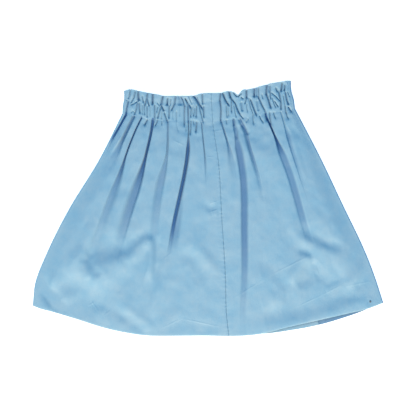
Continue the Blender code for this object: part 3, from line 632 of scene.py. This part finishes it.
def front_heights(distance, levels):
    """Outer height of the front at many distances from its left edge, and how much shade is painted into
    its hollows.
    """
    width = row_widths(levels)
    floor = heights(levels, "floor")
    edge = heights(levels, "edge")
    x, y = plan_points(distance / width, levels)
    in_body = smoothstep(*BODY_BEGINS, levels)
    near_casing = np.exp(-np.abs(levels) / CRUMPLE_REACH)
    crest = heights(levels, "crest") + swell_heights(x, y) * in_body
    crumpled = CRUMPLE_ON_CASING + CRUMPLE_IN_BODY * in_body + CRUMPLE_AT_LINE * near_casing
    crest = crest + crumple_heights(x, y) * crumpled
    crest = np.maximum(crest, floor + LEAST_CREST)
    from_edge = np.minimum(distance, width - distance) - edge / 2
    inwards = smoothstep(0.0, 1.0, from_edge / heights(levels, "edge_rise"))
    dome = edge + (crest - edge) * inwards
    creases, rounded = crease_hollow(x, y, levels)
    folds, fold_shade = fold_hollow(distance, levels)
    dome = dome - BULGE_SHARE * (dome - floor) * rounded
    for line in (-1.0, 0.0):
        beside = (falls(levels) - falls(line)) / STITCH_DIP_WIDTH
        wave = np.sin(x / STITCH_PULL_EVERY * 2.0 * math.pi + 1.5 * np.sin(x / STITCH_PULL_DRIFT))
        pull = STITCH_PULL_LEAST + (1.0 - STITCH_PULL_LEAST) * wave
        dome = dome - STITCH_DIP * pull * np.exp(-np.abs(beside) ** 1.5) * inwards
    hollow = 1.0 - (1.0 - creases) * (1.0 - folds)
    height = dome + (floor - dome) * hollow * smoothstep(0.0, FOLDS_FROM_EDGE, from_edge)
    seam = smooth_curve(PATH_LEVELS, CENTRE_SEAM, levels) * width
    height = height - SEAM_DIP * np.exp(-np.abs((distance - seam) / SEAM_DIP_WIDTH))
    height = height - HEM_CURL * smoothstep(HEM_CURL_FROM, 1.0, levels)
    from_stud = np.hypot(x - STUD_PLACE[0], y - STUD_PLACE[1]) / STUD_REACH
    height = height + (STUD_SEAT - height) * np.exp(-(from_stud**4))
    # Shade painted into the gathers and folds, along the lower stitch line and over the ruffle
    shade = 1.0 - (1.0 - CREASE_SHADE * creases**CREASE_SHADE_POWER) * (1.0 - fold_shade)
    shade = np.maximum(shade, STITCH_SHADE * np.exp(-((falls(levels) / STITCH_DIP_WIDTH) ** 2)))
    shade = np.maximum(shade, RUFFLE_SHADE * (1.0 - smoothstep(-1.15, -1.0, levels)))
    return height, shade


def scallops(shade, levels):
    """How far the ruffle's top edge dips where a gather draws it in."""
    return SCALLOP * shade * (1.0 - smoothstep(-2.0, SCALLOP_LEVEL, levels))


def cloth_object(name, distance, height, marks, levels, drop, material):
    """Bend a flat grid into a sheet of cloth, give it its wall and make it an object."""
    row_count, column_count = distance.shape
    across = distance / row_widths(levels)
    x, y = plan_points(across, levels)
    y = y - drop
    shape = bmesh.new()
    bmesh.ops.create_grid(shape, x_segments=column_count - 1, y_segments=row_count - 1, size=1.0)
    threads = shape.loops.layers.uv.new("threads")
    layers = {mark: shape.verts.layers.float.new(mark) for mark in marks}
    place = {}
    for vertex in shape.verts:
        column = round((vertex.co.x + 1.0) / 2.0 * (column_count - 1))
        row = round((vertex.co.y + 1.0) / 2.0 * (row_count - 1))
        vertex.co = Vector((x[row, column], y[row, column], height[row, column])) * MM
        for mark, values in marks.items():
            vertex[layers[mark]] = values[row, column]
        place[vertex.index] = (row, column)
    thread_x = across * row_widths(np.ones(1))[0] * MM
    thread_y = np.broadcast_to(falls(levels), distance.shape) * -MM
    for face in shape.faces:
        for loop in face.loops:
            spot = place[loop.vert.index]
            loop[threads].uv = (thread_x[spot], thread_y[spot])
    shape.normal_update()
    highest = max(shape.faces, key=lambda face: face.calc_center_median().z)
    if name.startswith("front") == (highest.normal.z < 0):
        bmesh.ops.reverse_faces(shape, faces=shape.faces[:])
    mesh = bpy.data.meshes.new(name)
    shape.to_mesh(mesh)
    shape.free()
    mesh.shade_smooth()
    mesh.materials.append(material)
    piece = bpy.data.objects.new(name, mesh)
    bpy.context.scene.collection.objects.link(piece)
    wall = piece.modifiers.new("cloth_wall", "SOLIDIFY")
    wall.thickness = CLOTH_WALL * MM
    wall.offset = -1.0
    return piece


def side_columns(radius, seam):
    """Distances from the edge and heights of the columns from the side seam, under and round the fold."""
    run = np.linspace(0.0, 1.0, UNDER_COLUMNS, endpoint=False)
    under = seam + (radius - seam) * run
    angles = math.pi * (np.arange(TURN_STEPS) / TURN_STEPS - 0.5)
    turn = radius * (1.0 - np.cos(angles))
    rise = radius * (1.0 + np.sin(angles))
    return np.hstack((under, turn)), np.hstack((np.zeros_like(under), rise))


# Materials of the cloth: node groups for the dye with its painted shade, the weave, the seam puckers and
# the pressed creases
DYE = (0.230, 0.420, 0.530)
FADED = (0.300, 0.455, 0.536)
# The colour towards which shade is painted into folds and gathers
PAINTED_SHADE = (0.024, 0.115, 0.290)
FADING = {"Scale": 30.0, "Detail": 6.0, "Roughness": 0.70}
FADING_RANGE = {"From Min": 0.35, "From Max": 0.67}
THREADS_PER_METRE = 2200.0
SLUBS = {"Scale": 420.0, "Detail": 3.0}
SLUB_SHARE = 0.5
PULLS_PER_METRE = 112.0
PULL_REACH = 6.5
PULL_UNEVEN = {"Scale": 45.0, "Detail": 2.0}
PULL_BEND = 16.0
PRESSED_WIDTH = 0.0016


def add_group(name, inputs, output):
    """An empty shader node group with named sockets, and its input and output nodes."""
    group = bpy.data.node_groups.new(name, "ShaderNodeTree")
    for socket_name, socket_type, value in inputs:
        socket = group.interface.new_socket(socket_name, in_out="INPUT", socket_type=socket_type)
        socket.default_value = value
    group.interface.new_socket(output[0], in_out="OUTPUT", socket_type=output[1])
    return group, group.nodes.new("NodeGroupInput"), group.nodes.new("NodeGroupOutput")


def add_node(tree, kind, output, inputs, **settings):
    """Add a node, feed its inputs with constants or other nodes' outputs, and return one of its outputs."""
    node = tree.nodes.new(kind)
    for setting, value in settings.items():
        setattr(node, setting, value)
    for key, value in inputs.items():
        if isinstance(value, bpy.types.NodeSocket):
            tree.links.new(value, node.inputs[key])
        else:
            node.inputs[key].default_value = value
    return node.outputs[output]


def calculate(tree, operation, *values, clamp=False):
    """Add a math node on constants or outputs, and return its output."""
    inputs = dict(enumerate(values))
    return add_node(tree, "ShaderNodeMath", "Value", inputs, operation=operation, use_clamp=clamp)


def combine(tree, operation, output, inputs):
    """Add a vector math node, and return its output."""
    return add_node(tree, "ShaderNodeVectorMath", output, inputs, operation=operation)


def patchy_dye_and_shade_group():
    """Blue dye that is faded in soft patches, with shade painted deeper blue inside folds and gathers."""
    group, entry, result = add_group("patchy_dye_and_painted_shade", (
        ("Dye", "NodeSocketColor", (*DYE, 1.0)),
        ("Faded", "NodeSocketColor", (*FADED, 1.0)),
        ("Painted shade colour", "NodeSocketColor", (*PAINTED_SHADE, 1.0)),
        ("Painted shade", "NodeSocketFloat", 0.0),
    ), ("Color", "NodeSocketColor"))
    place = add_node(group, "ShaderNodeTexCoord", "Object", {})
    patches = add_node(group, "ShaderNodeTexNoise", "Fac", {"Vector": place, **FADING})
    fading = add_node(group, "ShaderNodeMapRange", "Result", {"Value": patches, **FADING_RANGE})
    colours = {"Factor": fading, "A": entry.outputs["Dye"], "B": entry.outputs["Faded"]}
    dyed = add_node(group, "ShaderNodeMix", "Result", colours, data_type="RGBA")
    # Shade is painted in as far as the hollow attribute says, growing smoothly
    hollow = {"Value": entry.outputs["Painted shade"]}
    depth = add_node(group, "ShaderNodeMapRange", "Result", hollow, interpolation_type="SMOOTHSTEP")
    colours = {"Factor": depth, "A": dyed, "B": entry.outputs["Painted shade colour"]}
    shaded = add_node(group, "ShaderNodeMix", "Result", colours, data_type="RGBA")
    group.links.new(shaded, result.inputs["Color"])
    return group


def plain_weave_group():
    """Height of a plain weave: warp and weft threads that go over each other in turn, with slubs."""
    group, entry, result = add_group("plain_weave", (
        ("Threads per metre", "NodeSocketFloat", THREADS_PER_METRE),
        ("Slubs", "NodeSocketFloat", SLUB_SHARE),
    ), ("Height", "NodeSocketFloat"))
    place = add_node(group, "ShaderNodeUVMap", "UV", {}, uv_map="threads")
    waves = calculate(group, "MULTIPLY", entry.outputs["Threads per metre"], math.pi)
    thread = combine(group, "SCALE", "Vector", {0: place, "Scale": waves})
    warp = calculate(group, "SINE", add_node(group, "ShaderNodeSeparateXYZ", "X", {"Vector": thread}))
    weft = calculate(group, "SINE", add_node(group, "ShaderNodeSeparateXYZ", "Y", {"Vector": thread}))
    slubs = add_node(group, "ShaderNodeTexNoise", "Fac", {"Vector": place, **SLUBS})
    slub_height = calculate(group, "MULTIPLY", slubs, entry.outputs["Slubs"])
    height = calculate(group, "ADD", calculate(group, "MULTIPLY", warp, weft), slub_height)
    group.links.new(height, result.inputs["Height"])
    return group


def seam_puckers_group():
    """Height of the small pulls that the machine stitches leave on both sides of the centre seam."""
    group, entry, result = add_group("seam_puckers", (
        ("From seam", "NodeSocketFloat", 0.0),
        ("Reach", "NodeSocketFloat", PULL_REACH),
        ("Pulls per metre", "NodeSocketFloat", PULLS_PER_METRE),
    ), ("Height", "NodeSocketFloat"))
    place = add_node(group, "ShaderNodeUVMap", "UV", {}, uv_map="threads")
    down = add_node(group, "ShaderNodeSeparateXYZ", "Y", {"Vector": place})
    pulls = calculate(group, "MULTIPLY", down, entry.outputs["Pulls per metre"])
    turns = calculate(group, "MULTIPLY", pulls, 2.0 * math.pi)
    uneven = add_node(group, "ShaderNodeTexNoise", "Fac", {"Vector": place, **PULL_UNEVEN})
    wave = calculate(group, "SINE", calculate(group, "MULTIPLY_ADD", uneven, PULL_BEND, turns))
    off = calculate(group, "ABSOLUTE", entry.outputs["From seam"])
    in_reaches = calculate(group, "DIVIDE", off, entry.outputs["Reach"])
    dying = calculate(group, "EXPONENT", calculate(group, "MULTIPLY", in_reaches, -1.0))
    patchy = calculate(group, "MULTIPLY", wave, uneven)
    group.links.new(calculate(group, "MULTIPLY", patchy, dying), result.inputs["Height"])
    return group


def pressed_crease_group():
    """Height of one thin crease pressed into the cloth, along a straight course seen from above."""
    group, entry, result = add_group("pressed_crease", (
        ("Start", "NodeSocketVector", (0.0, 0.0, 0.0)),
        ("Run", "NodeSocketVector", (1.0, 0.0, 0.0)),
        ("Width", "NodeSocketFloat", PRESSED_WIDTH),
    ), ("Height", "NodeSocketFloat"))
    run = entry.outputs["Run"]
    place = add_node(group, "ShaderNodeTexCoord", "Object", {})
    from_above = combine(group, "MULTIPLY", "Vector", {0: place, 1: (1.0, 1.0, 0.0)})
    from_start = combine(group, "SUBTRACT", "Vector", {0: from_above, 1: entry.outputs["Start"]})
    forward = combine(group, "DOT_PRODUCT", "Value", {0: from_start, 1: run})
    run_squared = combine(group, "DOT_PRODUCT", "Value", {0: run, 1: run})
    share = calculate(group, "DIVIDE", forward, run_squared, clamp=True)
    along = combine(group, "SCALE", "Vector", {0: run, "Scale": share})
    beside = combine(group, "DISTANCE", "Value", {0: from_start, 1: along})
    in_widths = calculate(group, "DIVIDE", beside, entry.outputs["Width"])
    squared = calculate(group, "POWER", in_widths, 2.0)
    ridge = calculate(group, "EXPONENT", calculate(group, "MULTIPLY", squared, -1.0))
    taper = calculate(group, "SINE", calculate(group, "MULTIPLY", share, math.pi))
    group.links.new(calculate(group, "MULTIPLY", ridge, taper), result.inputs["Height"])
    return group


# Thin creases left by folding and pressing: where each starts and ends on the table, and its half width.
# They were placed and turned to millimetres in the same way as the creases of the gathering.
PressedCrease = namedtuple("PressedCrease", "x1 y1 x2 y2 width")
PRESSED_CREASES = tuple(PressedCrease(*row) for row in (
    (44.9, -178.5, 115.1, -133.6, 1.5),
    (111.2, -135.6, 206.8, -86.8, 1.5),
    (171.7, -192.1, 222.4, -168.7, 1.5),
    (214.6, -172.6, 267.2, -145.3, 1.4),
    (261.4, -153.1, 319.9, -141.4, 1.6),
    (-93.5, -235, -50.6, -213.6, 1.5),
    (-54.5, -213.6, 27.4, -231.1, 1.5),
    (-228.1, -178.5, -212.5, -201.9, 1.3),
    (-233.9, -190.2, -218.3, -180.4, 1.3),
    (-202.7, -209.7, -187.1, -196, 1.3),
    (-113, -104.4, -136.4, -170.7, 1.4),
    (-93.5, -104.4, -64.3, -81, 1.3),
    (2, 8.7, 25.4, 16.5, 1.3),
    (0.1, -8.8, 21.5, -1, 1.3),
    (-70.1, 133.5, -44.8, 121.8, 1.4),
    (12, 150.5, 31, 152.5, 1.3),
    (-3.8, 100.4, 17.6, 98.4, 1.3),
))
PRESSED_RISE = 0.34
PUCKER_RISE = 0.34
WEAVE_RISE = 0.08
WEAVE_STRENGTH = 0.5
LUSTRE = {"Roughness": 0.6, "Specular IOR Level": 0.55, "Sheen Weight": 0.15, "Sheen Roughness": 0.5}


def add_bump(tree, height, rise, strength=1.0, normal=None):
    """Add a bump of a height whose full rise is given in millimetres, on top of another one's normal."""
    inputs = {"Strength": strength, "Distance": rise * MM, "Height": height}
    if normal is not None:
        inputs["Normal"] = normal
    return add_node(tree, "ShaderNodeBump", "Normal", inputs)


def cotton_material():
    """Light blue plain-weave cotton with a soft lustre, and shade painted into its folds and gathers."""
    material = plain_material("light_blue_cotton", DYE, LUSTRE)
    tree = material.node_tree
    # The hollow attribute holds how much shade is painted into the cloth's colour
    hollow = add_node(tree, "ShaderNodeAttribute", "Fac", {}, attribute_name="hollow")
    colour = add_node(tree, "ShaderNodeGroup", "Color", {"Painted shade": hollow}, node_tree=patchy_dye_and_shade_group())
    crease_group = pressed_crease_group()
    creases = None
    for crease in PRESSED_CREASES:
        sizes = {
            "Start": (crease.x1 * MM, crease.y1 * MM, 0.0),
            "Run": ((crease.x2 - crease.x1) * MM, (crease.y2 - crease.y1) * MM, 0.0),
            "Width": crease.width * MM,
        }
        height = add_node(tree, "ShaderNodeGroup", "Height", sizes, node_tree=crease_group)
        creases = height if creases is None else calculate(tree, "ADD", creases, height)
    from_seam = {"From seam": add_node(tree, "ShaderNodeAttribute", "Fac", {}, attribute_name="from_seam")}
    puckers = add_node(tree, "ShaderNodeGroup", "Height", from_seam, node_tree=seam_puckers_group())
    weave = add_node(tree, "ShaderNodeGroup", "Height", {}, node_tree=plain_weave_group())
    pressed = add_bump(tree, creases, PRESSED_RISE)
    puckered = add_bump(tree, puckers, PUCKER_RISE, normal=pressed)
    woven = add_bump(tree, weave, WEAVE_RISE, WEAVE_STRENGTH, puckered)
    shader = tree.nodes["Principled BSDF"]
    tree.links.new(colour, shader.inputs["Base Color"])
    tree.links.new(woven, shader.inputs["Normal"])
    return material


cotton = cotton_material()
level_column = LEVELS[:, None]
edge_radius = heights(level_column, "edge") / 2
widths = row_widths(level_column)
seam_distance = smooth_curve(PATH_LEVELS, CENTRE_SEAM, level_column) * widths

# Machine stitches in cotton thread, in two rows round the waist. They close the casing of the elastic, and
# each stitch shows as a short raised bead that lies on the cloth.
STITCH_LEVELS = (-1.0, 0.0)
STITCH_EVERY = 3.1
STITCH_HALF = (1.15, 0.34, 0.30)
STITCH_MARGIN = 7.0
THREAD = (0.215, 0.410, 0.545)
thread_material = plain_material("cotton_thread", THREAD, {"Roughness": 0.7})


def stitch_rows(name, first, last, height_of):
    """Lay the two rows of stitches between two distances from the left edge, given at the stitch levels."""
    shape = bmesh.new()
    for level, start, end in zip(STITCH_LEVELS, first, last):
        count = int((end - start - 2.0 * STITCH_MARGIN) / STITCH_EVERY)
        distance = (start + STITCH_MARGIN + STITCH_EVERY * (0.5 + np.arange(count)))[None, :]
        row = np.full((1, 1), level)
        x, y = plan_points(distance / row_widths(row), row)
        height = height_of(distance, row)
        turns = np.arctan2(np.gradient(y[0]), np.gradient(x[0]))
        for step in range(count):
            place = Matrix.Translation(Vector((x[0, step], y[0, step], height[0, step])) * MM)
            turn = Matrix.Rotation(turns[step], 4, "Z")
            size = Matrix.Diagonal((*(Vector(STITCH_HALF) * MM), 1.0))
            bmesh.ops.create_icosphere(shape, subdivisions=2, radius=1.0, matrix=place @ turn @ size)
    mesh = bpy.data.meshes.new(name)
    shape.to_mesh(mesh)
    shape.free()
    mesh.shade_smooth()
    mesh.materials.append(thread_material)
    stitches = bpy.data.objects.new(name, mesh)
    bpy.context.scene.collection.objects.link(stitches)
    return stitches


def front_stitch_heights(distance, levels):
    return front_heights(distance, levels)[0]


def line_sizes(share):
    """Distances from the left edge at the two stitch levels, for a share of the way across at each."""
    return [share * float(row_widths(np.asarray(level))) for level in STITCH_LEVELS]


# Left front: the length of cotton from the centre seam to the left side seam, which lies just under the
# left fold. It is cut in one with its casing and ruffle, and sewn to the right front and to the back.
side_distance, side_height = side_columns(edge_radius, LEFT_SIDE_SEAM * widths)
top_run = np.linspace(0.0, 1.0, TOP_COLUMNS)[None, :]
top_distance = edge_radius + (seam_distance - edge_radius) * top_run
top_height, top_shade = front_heights(top_distance, level_column)
front_left = cloth_object(
    "front_left_cloth",
    np.hstack((side_distance, top_distance)),
    np.hstack((side_height, top_height)),
    {
        # Painted shade of the gathers and folds
        "hollow": np.hstack((np.zeros_like(side_distance), top_shade)),
        "from_seam": seam_distance - np.hstack((side_distance, top_distance)),
    },
    level_column, np.hstack((np.zeros_like(side_distance), scallops(top_shade, level_column))), cotton,
)
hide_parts("front_left_panel", "front_left_casing", "front_left_ruffle")
left_stitches = stitch_rows(
    "front_left_stitches", line_sizes(0.0), line_sizes(CENTRE_SEAM.at_top), front_stitch_heights
)

# Right front: the same on the right of the centre seam. It turns further under the skirt, and its under
# side and the back hang below the front's hem at the lower right. Shade is painted all over that under
# side, and on the back where it lies below the front's hem.
BACK_HEM_DROP = 11.0
BACK_HEM_TUCK = 1.5
BACK_HEM_FROM = 0.64
BACK_HEM_TO = 0.97
BACK_HEM_LEVEL = 0.55
# Shade painted on the right front's under side and on the back below the front's hem
HEM_SHADE = 0.52
PUCKERS_SHORTER = 2.0


def hem_drop(distance, levels):
    """How far the back layer's hem lies below the front's, which lets it show at the lower right."""
    middle = (BACK_HEM_FROM + BACK_HEM_TO) / 2
    half = (BACK_HEM_TO - BACK_HEM_FROM) / 2
    share = np.maximum(0.0, 1.0 - ((distance / row_widths(np.asarray(levels)) - middle) / half) ** 2)
    return (BACK_HEM_DROP * share - BACK_HEM_TUCK) * smoothstep(BACK_HEM_LEVEL, 1.0, levels)


side_distance, side_height = side_columns(edge_radius, RIGHT_SIDE_SEAM * widths)
top_distance = seam_distance + (widths - edge_radius - seam_distance) * top_run
top_height, top_shade = front_heights(top_distance, level_column)
under_distance = widths - side_distance[:, ::-1]
is_under = np.hstack((np.zeros(TOP_COLUMNS + TURN_STEPS), np.ones(UNDER_COLUMNS)))[None, :]
all_distance = np.hstack((top_distance, under_distance))
front_right = cloth_object(
    "front_right_cloth",
    all_distance,
    np.hstack((top_height, side_height[:, ::-1])),
    {
        # Shade painted into the gathers and folds, and all over the under side
        "hollow": np.hstack((top_shade, HEM_SHADE * np.ones_like(under_distance))),
        "from_seam": PUCKERS_SHORTER * (all_distance - seam_distance),
    },
    level_column,
    hem_drop(all_distance, level_column) * is_under
    + np.hstack((scallops(top_shade, level_column), np.zeros_like(under_distance))),
    cotton,
)
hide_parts("front_right_panel", "front_right_casing", "front_right_ruffle")
right_stitches = stitch_rows(
    "front_right_stitches", line_sizes(CENTRE_SEAM.at_top), line_sizes(1.0), front_stitch_heights
)

# Back of the skirt: one length of the same cotton, cut in one with its casing and ruffle. It lies flat on
# the table from side seam to side seam, with gathers like the front's mirrored, only shallow.
BACK_COLUMNS = 180
FAR_FROM_SEAM = 300.0
BACK_GATHER_RISE = 0.6
BACK_STITCH_RISE = 0.45
BACK_STITCH_GAP = 0.05
# From what share of the front's hem drop shade starts to be painted on the back
SHADE_FROM = 0.45
back_run = np.linspace(0.0, 1.0, BACK_COLUMNS)[None, :]
back_distance = widths * (LEFT_SIDE_SEAM + (1.0 - RIGHT_SIDE_SEAM - LEFT_SIDE_SEAM) * back_run)
back_drop = hem_drop(back_distance, level_column)
above_hem = -falls(level_column) + falls(1.0)


def back_heights(distance, levels):
    """Heights of the back's underside, flat on the table but for its gathers, folds and stitch lines, and
    the shade painted into its gathers and folds.
    """
    width = row_widths(levels)
    x, y = plan_points(distance / width, levels)
    creases, _ = crease_hollow(-x, y, levels)
    folds, fold_shade = fold_hollow(width - distance, levels)
    hollow = 1.0 - (1.0 - creases) * (1.0 - folds)
    height = BACK_GATHER_RISE * hollow
    for line in STITCH_LEVELS:
        beside = (falls(levels) - falls(line)) / STITCH_DIP_WIDTH
        height = np.maximum(height, BACK_STITCH_RISE * np.exp(-(beside**2)))
    return height, 1.0 - (1.0 - CREASE_SHADE * creases**CREASE_SHADE_POWER) * (1.0 - fold_shade)


back_height, back_shade = back_heights(back_distance, level_column)
# Shade painted on the back where it lies under the front's hem
under_front = smoothstep(SHADE_FROM, 1.0, above_hem / np.maximum(hem_drop(back_distance, 1.0), 1.0))
back = cloth_object(
    "back_cloth",
    back_distance,
    back_height,
    {
        # Painted shade under the front's hem and in the back's gathers and folds
        "hollow": np.maximum(HEM_SHADE * under_front, back_shade),
        "from_seam": np.full_like(back_distance, FAR_FROM_SEAM),
    },
    level_column, back_drop, cotton,
)
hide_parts("back_panel", "back_casing", "back_ruffle")


def back_stitch_heights(distance, levels):
    """The back's stitches lie under it, just clear of the table at every level."""
    return np.full_like(distance, STITCH_HALF[2] + BACK_STITCH_GAP)


back_stitches = stitch_rows(
    "back_stitches", line_sizes(LEFT_SIDE_SEAM), line_sizes(1.0 - RIGHT_SIDE_SEAM), back_stitch_heights
)

# Everything lies still on one body: the three lengths of cloth, with the fronts lying on the back, and the
# stitches that lie on them. The three lengths of cloth are sheets with their stitches on them: flat is what
# was cut for what shows, and the fronts lie on the back.
for piece in (front_left, front_right, back, left_stitches, right_stitches, back_stitches):
    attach(piece, "root")

# A small dark metal stud at the lower right of the hem. It is the solid made before, pressed onto the
# front's cloth, and gets its finish here.
STUD_COLOUR = (0.170, 0.190, 0.210)
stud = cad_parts["hem_stud"]
stud_material = plain_material("dark_metal_stud", STUD_COLOUR, {"Metallic": 0.4, "Roughness": 0.45})
for slot in stud.material_slots:
    slot.material = stud_material
